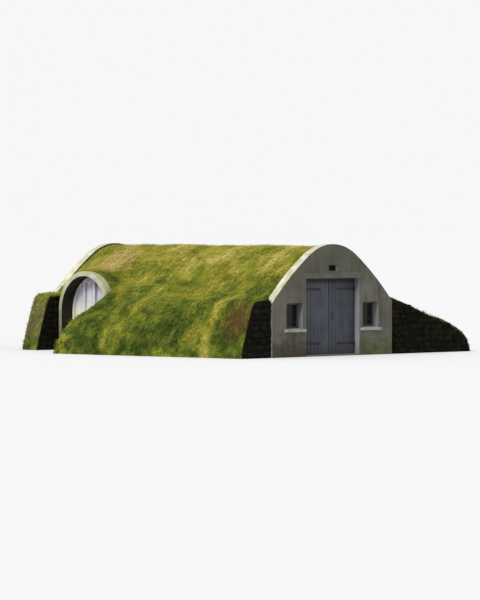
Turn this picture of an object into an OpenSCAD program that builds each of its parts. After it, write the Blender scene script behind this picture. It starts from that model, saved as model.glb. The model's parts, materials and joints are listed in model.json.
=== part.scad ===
// Turf house: a long barrel vault under turf between two arched gable walls,
// with paired doors in the front gable and a round-headed porch in the left flank.
// Millimetres. X runs to the right of the front, Y from front to rear, Z up.
// The origin lies on the ground in the middle of the vault's plan.

/* [House] */
// Length from the front face to the rear face
house_len = 9500; // [8800:50:10500]
// Width of the gable walls
gable_w = 4500; // [4300:10:4900]
// Height of the gable walls at the crown
gable_h = 3050; // [2950:10:3300]
// Thickness of the gable walls
gable_t = 270; // [230:10:320]
// Radius of the crown of the arch
crown_r = 1450; // [1350:10:1550]
// Angle from the crown to where the flatter haunches start
crown_a = 36; // [33:0.5:39]
// Radius of the flatter haunches
haunch_r = 8000; // [7000:100:9500]
// Thickness of the vault shell
shell_t = 120; // [80:5:160]
// Depth of the tops of the side walls below the eaves
seat_drop = 175; // [100:5:220]
// Thickness of the side walls
side_wall_t = 385; // [330:5:420]
// Thickness of the floor slab
floor_t = 60; // [40:5:80]

/* [Turf] */
// Thickness of the turf on the vault
turf_t = 250; // [180:10:300]
// Depth of the turf below the edge of the gable walls
turf_drop = 60; // [40:5:90]
// Depth of the stone walls that close the banks behind the gable's face
bank_end_set = 40; // [20:5:100]
// Thickness of the stone walls beside the porch
cheek_t = 200; // [150:10:240]
// Height of the banks above the eaves where they meet the gable walls
bank_rise = 60; // [20:5:120]
// Width of the top of the steep left bank
bank_top_w = 440; // [300:10:600]
// Width of the steep left bank at the ground
bank_foot_w = 1050; // [900:10:1300]
// Width of the left bank at the ground where it meets the porch
bank_wide_w = 2300; // [1900:10:2500]
// Width of the shallow right bank at the ground
right_bank_w = 3150; // [2700:10:3400]
// Radius of the rounded edges along the banks
bank_round = 180; // [80:10:240]

/* [Doorway] */
// Width of the doorway
door_w = 2000; // [1800:10:2100]
// Height of the doorway
door_h = 2120; // [2000:10:2180]
// Depth of the doors behind the gable's face
door_set = 180; // [140:5:200]
// Width of the door posts
post_w = 60; // [50:5:80]
// Height of the lintel
lintel_h = 160; // [120:5:200]
// Length of the lintel's bearing at each side
lintel_bearing = 60; // [40:5:80]
// Distance that the lintel stands proud of the gable
lintel_proud = 15; // [5:5:30]
// Height of the threshold
threshold_h = 45; // [30:5:60]
// Thickness of the boards of a door leaf
leaf_board_t = 28; // [20:2:36]
// Thickness of the ledges on the back of a door leaf
ledge_t = 22; // [16:2:30]
// Height of a ledge
ledge_h = 130; // [100:5:160]
// Gap between a leaf and its post, head or threshold
leaf_gap = 6; // [5:0.5:10]
// Gap between the two leaves
meeting_gap = 12; // [10:1:16]

/* [Hinges] */
// Radius of a hinge pin
pin_r = 8; // [6:0.5:10]
// Running clearance between a pin and its knuckle
pin_clear = 0.05; // [0.02:0.01:0.1]
// Outer radius of a knuckle
knuckle_r = 14; // [12:0.5:16]
// Height of a knuckle
knuckle_h = 60; // [40:5:80]
// Distance from the face of a leaf to the axis of its hinges
hinge_set = 19; // [18:0.5:24]
// Length of a hinge strap
strap_len = 620; // [400:10:700]
// Thickness of a hinge strap
strap_t = 5; // [4:0.5:6]
// Height of the lower hinge above the foot of the leaf
hinge_low = 260; // [200:10:400]
// Distance of the upper hinge below the top of the leaf
hinge_high = 260; // [200:10:400]

/* [Windows and vent] */
// Width of a window
window_w = 600; // [450:10:620]
// Height of a window
window_h = 680; // [550:10:700]
// Height of a window's sill above the ground
sill_z = 780; // [700:10:800]
// Width of the pier between the doorway and a window
pier_w = 120; // [110:5:150]
// Depth of a window behind the gable's face
window_set = 190; // [150:5:200]
// Width of a window's frame
sash_w = 48; // [40:2:60]
// Thickness of a window's frame
sash_t = 60; // [50:5:70]
// Thickness of the glass
glass_t = 6; // [4:1:8]
// Height of a sill
sill_h = 100; // [70:5:120]
// Length of the sill's ear beyond the window
sill_ear = 80; // [50:5:100]
// Distance that a sill stands proud of the gable
sill_proud = 60; // [40:5:80]
// Width of the vent
vent_w = 320; // [250:10:380]
// Height of the vent
vent_h = 160; // [120:10:180]
// Height of the vent's centre
vent_z = 2400; // [2380:5:2450]

/* [Porch] */
// Distance of the porch's centre in front of the rear face
porch_back = 1850; // [1750:10:2100]
// Distance that the porch's face stands out from the side wall
porch_out = 270; // [200:10:400]
// Height of the porch ring at its crown
porch_h = 2260; // [2150:10:2320]
// Outer radius of the porch ring
ring_r = 1125; // [1050:5:1180]
// Width of the porch ring
ring_w = 150; // [120:5:180]
// Depth of the porch ring
ring_d = 250; // [180:10:290]
// Depth of the porch's turf below the edge of the ring
porch_turf_drop = 20; // [10:5:40]
// Thickness of the porch's shell
porch_shell_t = 80; // [60:5:90]
// Depth of the screen behind the porch's face
screen_set = 400; // [320:10:430]
// Width of the members of the screen
screen_bar_w = 70; // [50:5:90]
// Thickness of the members of the screen
screen_bar_t = 70; // [50:5:90]
// Thickness of the screen's boards
screen_board_t = 24; // [18:2:30]
// Number of mullions in the screen
mullions = 3; // [2:1:4]

/* [Hidden] */

front_y = -house_len / 2;
rear_y = house_len / 2;
inner_front_y = front_y + gable_t;
inner_rear_y = rear_y - gable_t;
half_w = gable_w / 2;
arc_chord = 115;
concrete = "#6f6c66";
floor_grey = "#6b6a64";
whitewash = "#d8d5c0";
turf_green = "#6d7a2c";
turf_straw = "#a39a55";
slate_blue = "#41454d";
basalt = "#211f1a";
white_paint = "#cfcfd2";
iron = "#2a2523";

// The arch is drawn from three centres: a tight crown and two flatter haunches.
crown_c = [0, gable_h - crown_r];
haunch_c = crown_c - (haunch_r - crown_r) * [sin(crown_a), cos(crown_a)];
haunch_a = asin((half_w - haunch_c[0]) / haunch_r);
eaves_z = haunch_c[1] + haunch_r * cos(haunch_a);
side_wall_h = eaves_z - seat_drop;

// Points of an arc between two angles from the vertical, about one chord apart.
function arc(centre, radius, from, to) = [
    let (steps = ceil(abs(to - from) * PI / 180 * radius / arc_chord))
    for (i = [0:steps])
    let (a = from + (to - from) * i / steps)
    centre + radius * [sin(a), cos(a)]
];

function mirrored(points) = [for (i = [len(points) - 1:-1:0]) [-points[i][0], points[i][1]]];

function tail(points) = [for (i = [1:len(points) - 1]) points[i]];

// Right half of the arch from its eaves to the crown, set off by t.
function half_arch(t) = concat(
    arc(haunch_c, haunch_r + t, haunch_a, crown_a),
    tail(arc(crown_c, crown_r + t, crown_a, 0))
);

function arch_leg_x(t) = half_w + t * sin(haunch_a);

module arch_face(t) {
    right = half_arch(t);
    left = tail(mirrored(right));
    polygon(concat([[arch_leg_x(t), 0]], right, left, [[-arch_leg_x(t), 0]]));
}

// Extrudes an outline drawn in X and Z from one Y to another.
module along_y(from, to) {
    translate([0, to, 0])
        rotate([90, 0, 0])
            linear_extrude(height = to - from)
                children();
}

// Extrudes an outline drawn in Y and Z from one X to another.
module along_x(from, to) {
    translate([from, 0, 0])
        rotate([90, 0, 90])
            linear_extrude(height = to - from)
                children();
}

module arch_solid(t, from, to) {
    along_y(from, to) arch_face(t);
}

module block(from, to) {
    translate(from) cube(to - from);
}

window_x = door_w / 2 + pier_w + window_w / 2;
window_bottom = sill_z - sill_h;
window_top = sill_z + window_h;
cut = 10;

module window_cut(side) {
    block(
        [side * window_x - window_w / 2, front_y - cut, window_bottom],
        [side * window_x + window_w / 2, inner_front_y + cut, window_top]
    );
}

lintel_half = door_w / 2 + lintel_bearing;
lintel_top = door_h + lintel_h;

module lintel_cut() {
    block([-lintel_half, front_y - cut, door_h], [lintel_half, inner_front_y + cut, lintel_top]);
}

module vent_cut() {
    block(
        [-vent_w / 2, front_y - cut, vent_z - vent_h / 2],
        [vent_w / 2, inner_front_y + cut, vent_z + vent_h / 2]
    );
}

module front_wall_side(side) {
    difference() {
        intersection() {
            arch_solid(0, front_y, inner_front_y);
            block(
                [side > 0 ? door_w / 2 : -half_w, front_y, 0],
                [side > 0 ? half_w : -door_w / 2, inner_front_y, gable_h]
            );
        }
        window_cut(side);
        lintel_cut();
    }
}

module front_wall_left() {
    color(concrete) front_wall_side(-1);
}

module front_wall_right() {
    color(concrete) front_wall_side(1);
}

module front_wall_head() {
    color(concrete) difference() {
        intersection() {
            arch_solid(0, front_y, inner_front_y);
            block([-door_w / 2, front_y, lintel_top], [door_w / 2, inner_front_y, gable_h]);
        }
        vent_cut();
    }
}

module rear_wall() {
    color(concrete) arch_solid(0, inner_rear_y, rear_y);
}

module door_lintel() {
    color("#7d7b73") block(
        [-lintel_half, front_y - lintel_proud, door_h],
        [lintel_half, inner_front_y, lintel_top]
    );
}

// Shell and turf: rings of the arch between two offsets, split at the crown angle.
turf_out = -turf_drop;
turf_in = turf_out - turf_t;
shell_in = turf_in - shell_t;
turf_leg_x = arch_leg_x(turf_out);
wall_in_x = half_w - side_wall_t;
far_r = 3 * haunch_r;

// Wedge of the section from the crown's centre between two angles from the vertical.
module sector(from, to) {
    polygon([
        crown_c,
        crown_c + far_r * [sin(from), cos(from)],
        crown_c + far_r * [sin(to), cos(to)]
    ]);
}

module crown_band(outer, inner) {
    along_y(inner_front_y, inner_rear_y) intersection() {
        difference() {
            arch_face(outer);
            arch_face(inner);
        }
        sector(-crown_a, crown_a);
    }
}

module haunch_band(outer, inner, side) {
    along_y(inner_front_y, inner_rear_y) intersection() {
        difference() {
            arch_face(outer);
            arch_face(inner);
        }
        difference() {
            translate([side > 0 ? 0 : -half_w, side_wall_h]) square([half_w, gable_h]);
            sector(-crown_a, crown_a);
        }
    }
}

// Round-headed outline of the porch, at a radius about its own centre.
porch_y = rear_y - porch_back;
porch_x = half_w + porch_out;
porch_spring_z = porch_h - ring_r;
porch_steps = 24;

module porch_face(radius) {
    polygon(concat(
        [[porch_y - radius, 0]],
        [for (i = [0:porch_steps])
            let (a = 180 - 180 * i / porch_steps)
            [porch_y + radius * cos(a), porch_spring_z + radius * sin(a)]],
        [[porch_y + radius, 0]]
    ));
}

ring_in_r = ring_r - ring_w;
porch_shell_r = ring_in_r + porch_shell_t;
porch_turf_r = ring_r - porch_turf_drop;
ring_back_x = ring_d - porch_x;

module porch_solid(radius) {
    along_x(-porch_x - cut, 0) porch_face(radius);
}

module vault_crown() {
    color(concrete) crown_band(turf_in, shell_in);
}

module vault_left() {
    color(concrete) difference() {
        haunch_band(turf_in, shell_in, -1);
        porch_solid(porch_shell_r);
    }
}

module vault_right() {
    color(concrete) haunch_band(turf_in, shell_in, 1);
}

module side_wall_right() {
    color(concrete) block([wall_in_x, inner_front_y, 0], [half_w, inner_rear_y, side_wall_h]);
}

module side_wall_left_part(from, to) {
    color(concrete) difference() {
        block([-half_w, from, 0], [-wall_in_x, to, side_wall_h]);
        porch_solid(porch_shell_r);
    }
}

module side_wall_left_front() {
    side_wall_left_part(inner_front_y, porch_y);
}

module side_wall_left_rear() {
    side_wall_left_part(porch_y, inner_rear_y);
}

module floor_slab() {
    color(floor_grey) block([-wall_in_x, inner_front_y, 0], [wall_in_x, inner_rear_y, floor_t]);
}

// Paired doors on pin hinges. Side is -1 for the left leaf and 1 for the right.
leaf_face_y = front_y + door_set;
leaf_low = threshold_h + leaf_gap;
leaf_high = door_h - post_w - leaf_gap;
leaf_edge_x = door_w / 2 - post_w - leaf_gap;
leaf_back_y = leaf_face_y + leaf_board_t;
hinge_x = leaf_edge_x + leaf_gap / 2;
hinge_y = leaf_face_y - hinge_set;
hinge_heights = [leaf_low + hinge_low, leaf_high - hinge_high];

// Gives the children for the right side, or mirrors them to the left.
module to_side(side) {
    if (side > 0) children();
    else mirror([1, 0, 0]) children();
}

module door_posts() {
    color(slate_blue) for (side = [-1, 1]) {
        to_side(side) block(
            [door_w / 2 - post_w, leaf_face_y, threshold_h],
            [door_w / 2, inner_front_y, door_h - post_w]
        );
    }
}

module door_head() {
    color(slate_blue) block(
        [-door_w / 2, leaf_face_y, door_h - post_w],
        [door_w / 2, inner_front_y, door_h]
    );
}

module door_threshold() {
    color(concrete) block([-door_w / 2, front_y, 0], [door_w / 2, inner_front_y, threshold_h]);
}

ledge_inset = 40;
ledge_end = 120;
brace_w = 100;
ledge_levels = [
    leaf_low + ledge_end,
    (leaf_low + leaf_high - ledge_h) / 2,
    leaf_high - ledge_end - ledge_h
];

// Board panel with three ledges and two braces that rise from the hinge side.
module leaf() {
    ledge_x0 = meeting_gap / 2 + ledge_inset;
    ledge_x1 = leaf_edge_x - ledge_inset;
    block([meeting_gap / 2, leaf_face_y, leaf_low], [leaf_edge_x, leaf_back_y, leaf_high]);
    for (z = ledge_levels) {
        block([ledge_x0, leaf_back_y, z], [ledge_x1, leaf_back_y + ledge_t, z + ledge_h]);
    }
    for (i = [0:1]) {
        low = ledge_levels[i] + ledge_h;
        high = ledge_levels[i + 1];
        along_y(leaf_back_y, leaf_back_y + ledge_t) polygon([
            [ledge_x1, low],
            [ledge_x1 - brace_w, low],
            [ledge_x0, high],
            [ledge_x0 + brace_w, high]
        ]);
    }
}

module door_leaf_left() {
    color(slate_blue) to_side(-1) leaf();
}

module door_leaf_right() {
    color("#4a4f58") leaf();
}

neck_w = 12;
neck_root = knuckle_r / 3;
pin_sides = 48;

// Knuckle and strap of each hinge, on the face of the leaf.
module straps(side) {
    color(iron) to_side(side) for (z = hinge_heights) {
        difference() {
            union() {
                translate([hinge_x, hinge_y, z])
                    cylinder(r = knuckle_r, h = knuckle_h, $fn = pin_sides);
                block(
                    [hinge_x - strap_len, leaf_face_y - strap_t, z],
                    [hinge_x - neck_root, leaf_face_y, z + knuckle_h]
                );
                block(
                    [hinge_x - knuckle_r - neck_w, hinge_y, z],
                    [hinge_x - neck_root, leaf_face_y, z + knuckle_h]
                );
            }
            translate([hinge_x, hinge_y, z - cut])
                cylinder(r = pin_r + pin_clear, h = knuckle_h + 2 * cut, $fn = pin_sides);
        }
    }
}

module hinge_straps_left() {
    straps(-1);
}

module hinge_straps_right() {
    straps(1);
}

boss_h = 30;
boss_gap = 1;
pin_tip = 6;
plate_h = 90;
plate_t = 4;
plate_edge = 4;

// Pin, boss and plate of each hinge, on the face of the post.
module pins(side) {
    color(iron) to_side(side) for (z = hinge_heights) {
        boss_z = z - boss_gap - boss_h;
        translate([hinge_x, hinge_y, boss_z]) {
            cylinder(r = knuckle_r, h = boss_h, $fn = pin_sides);
            cylinder(r = pin_r, h = boss_h + boss_gap + knuckle_h + pin_tip, $fn = pin_sides);
        }
        block(
            [hinge_x + neck_root, hinge_y, boss_z],
            [hinge_x + knuckle_r + neck_w, leaf_face_y, boss_z + boss_h]
        );
        block(
            [hinge_x + knuckle_r, leaf_face_y - plate_t, boss_z],
            [door_w / 2 - plate_edge, leaf_face_y, boss_z + plate_h]
        );
    }
}

module hinge_pins_left() {
    pins(-1);
}

module hinge_pins_right() {
    pins(1);
}

handle_x = 110;
handle_z = 1000;
handle_h = 180;
handle_r = 9;
handle_stand = 40;
handle_sides = 32;

// Bow handle on the right leaf, near the meeting edges.
module door_handle() {
    color(iron) {
        for (z = [handle_z, handle_z + handle_h]) {
            translate([handle_x, leaf_face_y, z])
                rotate([90, 0, 0])
                    cylinder(r = handle_r, h = handle_stand, $fn = handle_sides);
        }
        translate([handle_x, leaf_face_y - handle_stand, handle_z - 2 * handle_r])
            cylinder(r = handle_r, h = handle_h + 4 * handle_r, $fn = handle_sides);
    }
}

// Windows
sash_y = front_y + window_set;
glass_y = sash_y + (sash_t - glass_t) / 2;

module window_frame(side) {
    x0 = side * window_x - window_w / 2;
    x1 = side * window_x + window_w / 2;
    color(white_paint) difference() {
        block([x0, sash_y, sill_z], [x1, sash_y + sash_t, window_top]);
        block(
            [x0 + sash_w, sash_y - cut, sill_z + sash_w],
            [x1 - sash_w, sash_y + sash_t + cut, window_top - sash_w]
        );
    }
}

module window_pane(side) {
    color("#1d1f22") block(
        [side * window_x - window_w / 2 + sash_w, glass_y, sill_z + sash_w],
        [side * window_x + window_w / 2 - sash_w, glass_y + glass_t, window_top - sash_w]
    );
}

sill_fall = 22;
ear_fall = 8;

// Sloped sill that fills the foot of the opening, with ears on the face.
module window_sill(side) {
    color("#9a9a93") translate([side * window_x, 0, 0]) {
        along_x(-window_w / 2, window_w / 2) polygon([
            [front_y, window_bottom],
            [inner_front_y, window_bottom],
            [inner_front_y, sill_z],
            [sash_y, sill_z],
            [front_y, sill_z - sill_fall]
        ]);
        along_x(-window_w / 2 - sill_ear, window_w / 2 + sill_ear) polygon([
            [front_y - sill_proud, window_bottom],
            [front_y, window_bottom],
            [front_y, sill_z - sill_fall],
            [front_y - sill_proud, sill_z - sill_fall - ear_fall]
        ]);
    }
}

module window_frames() {
    for (side = [-1, 1]) window_frame(side);
}

module window_panes() {
    for (side = [-1, 1]) window_pane(side);
}

module window_sills() {
    for (side = [-1, 1]) window_sill(side);
}

vent_rim = 20;
vent_set = 90;
vent_d = 70;
slats = 3;
slat_t = 8;
slat_w = 50;
slat_tilt = 35;
slat_tenon = 6;

// Frame with sloping slats, deep inside the vent.
module vent_louvre() {
    y0 = front_y + vent_set;
    z0 = vent_z - vent_h / 2;
    inner_h = vent_h - 2 * vent_rim;
    color("#2b2b2a") {
        difference() {
            block([-vent_w / 2, y0, z0], [vent_w / 2, y0 + vent_d, z0 + vent_h]);
            block(
                [vent_rim - vent_w / 2, y0 - cut, z0 + vent_rim],
                [vent_w / 2 - vent_rim, y0 + vent_d + cut, z0 + vent_h - vent_rim]
            );
        }
        for (i = [0:slats - 1]) {
            translate([0, y0 + vent_d / 2, z0 + vent_rim + inner_h * (i + 0.5) / slats])
                rotate([slat_tilt, 0, 0])
                    cube([vent_w - 2 * vent_rim + 2 * slat_tenon, slat_w, slat_t], center = true);
        }
    }
}

// Porch
module porch_ring() {
    color(whitewash) along_x(-porch_x, ring_back_x) difference() {
        porch_face(ring_r);
        translate([0, -cut]) porch_face(ring_in_r);
        translate([porch_y - ring_in_r, -cut]) square([2 * ring_in_r, 2 * cut]);
    }
}

// Barrel from the ring to the inside of the vault.
module porch_shell() {
    color(whitewash) difference() {
        along_x(ring_back_x, -arch_leg_x(shell_in) / 2) difference() {
            porch_face(porch_shell_r);
            translate([porch_y - ring_in_r, -cut]) square([2 * ring_in_r, 2 * cut]);
            porch_face(ring_in_r);
        }
        arch_solid(shell_in, inner_front_y, inner_rear_y);
        block([-wall_in_x, inner_front_y, -cut], [wall_in_x, inner_rear_y, side_wall_h]);
    }
}

// Saddle of turf over the barrel, outside the side wall and the turf of the vault.
module porch_turf() {
    color(turf_green) difference() {
        along_x(ring_back_x, 0) intersection() {
            difference() {
                porch_face(porch_turf_r);
                porch_face(porch_shell_r);
            }
            translate([porch_y - ring_r, porch_spring_z]) square([2 * ring_r, ring_r]);
        }
        arch_solid(turf_out, inner_front_y, inner_rear_y);
        block([-half_w, inner_front_y, 0], [-wall_in_x, inner_rear_y, side_wall_h]);
    }
}

screen_x = screen_set - porch_x;
screen_back_x = screen_x + screen_bar_t;

module porch_floor() {
    color(floor_grey) block(
        [-porch_x, porch_y - ring_in_r, 0],
        [-wall_in_x, porch_y + ring_in_r, floor_t]
    );
}

// Arched frame, foot rail and mullions of the screen.
module porch_screen_frame() {
    inner = ring_in_r - screen_bar_w;
    color(white_paint) along_x(screen_x, screen_back_x) intersection() {
        translate([porch_y - ring_in_r, floor_t]) square([2 * ring_in_r, porch_h]);
        union() {
            difference() {
                porch_face(ring_in_r);
                porch_face(inner);
            }
            translate([porch_y - ring_in_r, floor_t]) square([2 * ring_in_r, 2 * screen_bar_w]);
            intersection() {
                porch_face((inner + ring_in_r) / 2);
                for (i = [1:mullions]) {
                    translate([porch_y - inner + 2 * inner * i / (mullions + 1) - screen_bar_w / 2, 0])
                        square([screen_bar_w, porch_h]);
                }
            }
        }
    }
}

module porch_screen_boards() {
    color(white_paint) along_x(screen_back_x, screen_back_x + screen_board_t) intersection() {
        porch_face(ring_in_r);
        translate([porch_y - ring_in_r, floor_t]) square([2 * ring_in_r, porch_h]);
    }
}

// Turf on the vault
module turf_crown() {
    color(turf_straw) crown_band(turf_out, turf_in);
}

module turf_left() {
    color(turf_green) difference() {
        haunch_band(turf_out, turf_in, -1);
        porch_solid(porch_shell_r);
    }
}

module turf_right() {
    color(turf_green) haunch_band(turf_out, turf_in, 1);
}

// Rounds each inner corner of an open line of [x, z] points by a radius.
corner_steps = 4;

function corner(before, at, after, radius) =
    let (
        u = (before - at) / norm(before - at),
        v = (after - at) / norm(after - at),
        half = acos(u * v) / 2,
        centre = at + radius / sin(half) * (u + v) / norm(u + v),
        first = at + u * radius / tan(half) - centre,
        last = at + v * radius / tan(half) - centre
    )
    [for (i = [0:corner_steps])
        let (w = first + (last - first) * i / corner_steps)
        centre + radius * w / norm(w)];

function rounded(points, radius) = concat(
    [points[0]],
    [for (i = [1:len(points) - 2])
        each corner(points[i - 1], points[i], points[i + 1], radius)],
    [points[len(points) - 1]]
);

// Banks: lines in X and Z from the wall outwards, as [share of the width, share of the height].
bank_top = eaves_z + bank_rise;

function bank_line(width, shares) = [
    for (p = shares) [half_w + width * p[0], bank_top * p[1]]
];

steep_top = bank_top_w / bank_foot_w;
steep_foot = 0.94;
steep_mid = (steep_top + steep_foot) / 2;
steep_line = bank_line(
    bank_foot_w,
    [[0, 1], [steep_top, 0.98], [steep_mid, 0.62], [steep_foot, 0.18], [1, 0]]
);
wide_line = bank_line(bank_wide_w, [[0, 1.02], [0.25, 1], [0.6, 0.65], [0.87, 0.32], [1, 0]]);
shallow_line = bank_line(
    right_bank_w,
    [[0, 1.01], [0.22, 0.88], [0.44, 0.7], [0.76, 0.48], [0.95, 0.23], [1, 0]]
);

// End of a bank beside the gable wall.
module bank_end_outline(line) {
    polygon(concat([[half_w, 0]], rounded(line, bank_round)));
}

// Section of a bank beside the vault: it laps onto the top of the side wall.
function bank_section(line) = concat(
    [[half_w, 0], [half_w, side_wall_h], [turf_leg_x, side_wall_h], [turf_leg_x, line[0][1]]],
    rounded(line, bank_round)
);

// Solid through sections with matched points in X and Z, spaced evenly from one Y to another.
module loft(sections, from, to) {
    sides = len(sections[0]);
    rows = len(sections) - 1;
    polyhedron(
        points = [
            for (row = [0:rows])
            for (p = sections[row]) [p[0], from + (to - from) * row / rows, p[1]]
        ],
        faces = concat(
            [[for (i = [0:sides - 1]) i]],
            [for (row = [0:rows - 1], i = [0:sides - 1])
                let (a = row * sides, b = a + sides, k = (i + 1) % sides)
                each [[a + i, b + i, b + k], [a + i, b + k, a + k]]],
            [[for (i = [sides - 1:-1:0]) rows * sides + i]]
        )
    );
}

// The end walls fill the depth of the gable walls, so that the banks lap onto the vault behind them.
end_front_y = front_y + bank_end_set;
end_rear_y = rear_y - bank_end_set;
near_cheek_y = porch_y - ring_r;
far_cheek_y = porch_y + ring_r;
bank_rows = 6;

// Widening bank between the front end wall and the near cheek of the porch.
module bank_left() {
    color(turf_green) to_side(-1) loft(
        [for (row = [0:bank_rows])
            bank_section(steep_line + (wide_line - steep_line) * row / bank_rows)],
        inner_front_y,
        near_cheek_y - cheek_t
    );
}

module bank_left_rear() {
    color(turf_green) to_side(-1)
        along_y(far_cheek_y + cheek_t, inner_rear_y) polygon(bank_section(steep_line));
}

module bank_right() {
    color(turf_green) along_y(inner_front_y, inner_rear_y) polygon(bank_section(shallow_line));
}

module bank_end_front_left() {
    color(basalt) to_side(-1) along_y(end_front_y, inner_front_y) bank_end_outline(steep_line);
}

module bank_end_rear_left() {
    color(basalt) to_side(-1) along_y(inner_rear_y, end_rear_y) bank_end_outline(steep_line);
}

module bank_end_front_right() {
    color(basalt) along_y(end_front_y, inner_front_y) bank_end_outline(shallow_line);
}

module bank_end_rear_right() {
    color(basalt) along_y(inner_rear_y, end_rear_y) bank_end_outline(shallow_line);
}

module porch_cheek_near() {
    color(basalt) to_side(-1)
        along_y(near_cheek_y - cheek_t, near_cheek_y) bank_end_outline(wide_line);
}

module porch_cheek_far() {
    color(basalt) to_side(-1)
        along_y(far_cheek_y, far_cheek_y + cheek_t) bank_end_outline(steep_line);
}

floor_slab();
front_wall_left();
front_wall_right();
front_wall_head();
rear_wall();
side_wall_right();
side_wall_left_front();
side_wall_left_rear();
vault_crown();
vault_left();
vault_right();
door_lintel();
door_threshold();
door_posts();
door_head();
hinge_pins_left();
hinge_pins_right();
door_leaf_left();
door_leaf_right();
hinge_straps_left();
hinge_straps_right();
door_handle();
window_frames();
window_panes();
window_sills();
vent_louvre();
porch_ring();
porch_shell();
porch_floor();
porch_screen_frame();
porch_screen_boards();
porch_turf();
turf_crown();
turf_left();
turf_right();
bank_left();
bank_left_rear();
bank_right();
bank_end_front_left();
bank_end_front_right();
bank_end_rear_left();
bank_end_rear_right();
porch_cheek_near();
porch_cheek_far();
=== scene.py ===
# %% [markdown]
# A turf house is a stone or concrete vault that wears a thick coat of living grass.
# The frame holds its true sizes. This lesson gives each surface its look: first the turf,
# then the field stones, the doors and the porch, and at last the colours, camera and light.

# %% Load the frame
import json
import math

import bpy
import numpy as np
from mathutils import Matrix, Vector


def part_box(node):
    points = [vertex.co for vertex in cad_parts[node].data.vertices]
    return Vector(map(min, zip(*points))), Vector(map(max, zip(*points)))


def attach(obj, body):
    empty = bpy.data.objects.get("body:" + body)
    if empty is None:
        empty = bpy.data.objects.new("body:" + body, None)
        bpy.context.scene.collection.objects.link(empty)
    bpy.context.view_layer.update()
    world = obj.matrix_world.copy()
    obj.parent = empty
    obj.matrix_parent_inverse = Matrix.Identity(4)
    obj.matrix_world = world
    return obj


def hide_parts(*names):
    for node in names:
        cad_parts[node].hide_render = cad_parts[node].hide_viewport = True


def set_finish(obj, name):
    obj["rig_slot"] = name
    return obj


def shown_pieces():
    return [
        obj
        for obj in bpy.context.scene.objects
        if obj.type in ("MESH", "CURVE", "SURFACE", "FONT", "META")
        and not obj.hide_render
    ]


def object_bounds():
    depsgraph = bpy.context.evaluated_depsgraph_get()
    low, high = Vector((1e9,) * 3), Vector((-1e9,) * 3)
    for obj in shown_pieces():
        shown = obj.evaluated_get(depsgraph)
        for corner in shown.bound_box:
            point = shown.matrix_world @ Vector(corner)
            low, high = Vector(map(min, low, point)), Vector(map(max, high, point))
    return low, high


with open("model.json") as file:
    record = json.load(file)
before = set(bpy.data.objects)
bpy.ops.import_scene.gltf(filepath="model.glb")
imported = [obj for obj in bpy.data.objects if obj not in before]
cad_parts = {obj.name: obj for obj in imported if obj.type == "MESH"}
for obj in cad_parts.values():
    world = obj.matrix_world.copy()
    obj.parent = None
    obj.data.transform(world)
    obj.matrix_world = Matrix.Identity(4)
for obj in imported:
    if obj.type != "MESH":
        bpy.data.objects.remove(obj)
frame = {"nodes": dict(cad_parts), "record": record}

CAD_BOX = [list(corner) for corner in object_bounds()]
print("frame nodes:", len(frame["nodes"]))

# %% [markdown]
# Sizes come from the frame, so that a piece made here lies on the piece that carries it.
# Only what a box around a node does not tell is written again, such as the arch's radii
# and angle, the thickness of the turf and the width of the porch's ring.

# %% Sizes of the house
X, Y, Z = range(3)


def reach(node, axis):
    """Lowest and highest place of a frame node along one axis, in metres."""
    low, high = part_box(node)
    return low[axis], high[axis]


FRONT_Y, ROOF_FRONT_Y = reach("front_wall_left", Y)
ROOF_REAR_Y, REAR_Y = reach("rear_wall", Y)
HALF_W = reach("rear_wall", X)[1]
GABLE_H = reach("rear_wall", Z)[1]
TURF_DROP = GABLE_H - reach("turf_crown", Z)[1]
TURF_T = 0.25
CROWN_R = 1.45
CROWN_A = math.radians(36)
HAUNCH_R = 8.0
CROWN_Z = GABLE_H - CROWN_R
HAUNCH_X = -(HAUNCH_R - CROWN_R) * math.sin(CROWN_A)
HAUNCH_Z = CROWN_Z - (HAUNCH_R - CROWN_R) * math.cos(CROWN_A)
PORCH_FACE_X, RING_BACK_X = reach("porch_ring", X)
PORCH_Y = sum(reach("porch_ring", Y)) / 2
RING_R = reach("porch_ring", Y)[1] - PORCH_Y
RING_W = 0.15
RING_INNER = RING_R - RING_W
PORCH_SPRING_Z = reach("porch_ring", Z)[1] - RING_R
SHELL_R = reach("porch_shell", Y)[1] - PORCH_Y
PORCH_TURF_R = reach("porch_turf", Y)[1] - PORCH_Y
print("gable", round(2 * HALF_W, 3), "by", round(GABLE_H, 3), "porch at y", round(PORCH_Y, 3))

# %% [markdown]
# A mesh is a list of points and a list of faces. These helpers turn whole arrays into a
# mesh at once, which is quicker than adding points one by one and keeps the shape's
# formula apart from Blender's own calls.

# %% Meshes from arrays
def placed(name, data):
    """A new object in the scene that shows a mesh, a camera or a lamp."""
    thing = bpy.data.objects.new(name, data)
    bpy.context.scene.collection.objects.link(thing)
    return thing


def add_piece(name, points, faces, slot, body="root", sharp_over=60):
    """Makes a mesh object from points and from arrays of quads or triangles, and hangs it on a body."""
    points = np.asarray(points, np.float32).reshape(-1, 3)
    corners = np.concatenate([f.ravel() for f in faces])
    sizes = np.concatenate([np.full(len(f), f.shape[1]) for f in faces])
    mesh = bpy.data.meshes.new(name)
    mesh.vertices.add(len(points))
    mesh.vertices.foreach_set("co", points.ravel())
    mesh.loops.add(len(corners))
    mesh.loops.foreach_set("vertex_index", corners.astype(np.int32))
    mesh.polygons.add(len(sizes))
    mesh.polygons.foreach_set("loop_start", np.concatenate([[0], np.cumsum(sizes)[:-1]]).astype(np.int32))
    mesh.update(calc_edges=True)
    mesh.shade_smooth()
    mesh.set_sharp_from_angle(angle=math.radians(sharp_over))
    piece = placed(name, mesh)
    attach(piece, body)
    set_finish(piece, slot)
    print(f"{name}: {len(points)} points, {int((sizes - 2).sum())} triangles")
    return piece


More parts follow.
